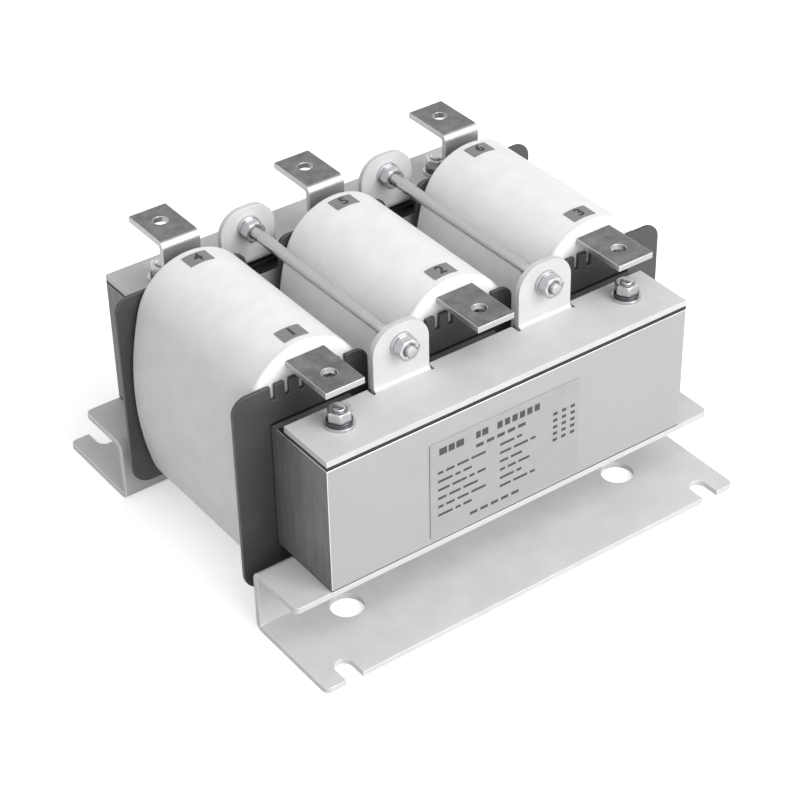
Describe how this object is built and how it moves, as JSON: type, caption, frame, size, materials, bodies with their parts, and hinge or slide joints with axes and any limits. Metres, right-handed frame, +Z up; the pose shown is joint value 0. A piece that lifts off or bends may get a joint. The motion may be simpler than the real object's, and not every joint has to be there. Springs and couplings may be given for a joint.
{
  "type": "ac output reactor",
  "caption": "Iron-core choke for a drive output: coils in white tape between laminated yokes, on folded steel feet, with flat terminal tabs at both ends of each coil.",
  "frame": {"origin": "on the floor, midway between the two feet and under the middle coil", "axes": "+X along the row of coils from coil 1 to coil 3, the label side faces -Y, +Z up"},
  "size_m": [0.238, 0.224, 0.1375],
  "materials": {
    "core_steel": "clear varnished electrical steel laminations, fine lines along the stack",
    "gap_board": "glass fibre laminate board, sawn edges",
    "insulation": "thin black insulating board",
    "bobbin_plastic": "dark glass filled plastic, moulded, faint sheen",
    "copper": "enamelled copper winding",
    "white_tape": "white polyester tape under clear varnish, overlapping turns",
    "tinned_bar": "tinned copper bar, satin with bright sheared edges",
    "zinc_sheet": "zinc plated folded steel sheet, satin",
    "zinc_fastener": "bright zinc plated steel fasteners",
    "plate": "pale printed foil plate, matt",
    "label_film": "small grey plastic film label"
  },
  "bodies": {
    "root": {"yoke_front": "core_steel", "yoke_rear": "core_steel", "limb_1": "core_steel", "limb_2": "core_steel", "limb_3": "core_steel", "gap_pad_front_1": "gap_board", "gap_pad_front_2": "gap_board", "gap_pad_front_3": "gap_board", "gap_pad_rear_1": "gap_board", "gap_pad_rear_2": "gap_board", "gap_pad_rear_3": "gap_board", "strip_top_front": "insulation", "strip_top_rear": "insulation", "strip_bottom_front": "insulation", "strip_bottom_rear": "insulation", "bobbin_1": "bobbin_plastic", "bobbin_2": "bobbin_plastic", "bobbin_3": "bobbin_plastic", "winding_1": "copper", "winding_2": "copper", "winding_3": "copper", "tape_wrap_1": "white_tape", "tape_wrap_2": "white_tape", "tape_wrap_3": "white_tape", "terminal_front_1": "tinned_bar", "terminal_front_2": "tinned_bar", "terminal_front_3": "tinned_bar", "terminal_rear_1": "tinned_bar", "terminal_rear_2": "tinned_bar", "terminal_rear_3": "tinned_bar", "foot_bracket_front": "zinc_sheet", "foot_bracket_rear": "zinc_sheet", "top_clamp_front": "zinc_sheet", "top_clamp_rear": "zinc_sheet", "tie_rod_high_left": "zinc_fastener", "tie_rod_high_right": "zinc_fastener", "tie_rod_low_left": "zinc_fastener", "tie_rod_low_right": "zinc_fastener", "tie_rod_nuts": "zinc_fastener", "tie_rod_washers": "zinc_fastener", "yoke_bolts": "zinc_fastener", "yoke_nuts": "zinc_fastener", "yoke_washers": "zinc_fastener", "yoke_spring_washers": "zinc_fastener", "nameplate": "plate", "phase_label_front_1": "label_film", "phase_label_front_2": "label_film", "phase_label_front_3": "label_film", "phase_label_rear_1": "label_film", "phase_label_rear_2": "label_film", "phase_label_rear_3": "label_film"}
  },
  "joints": []
}
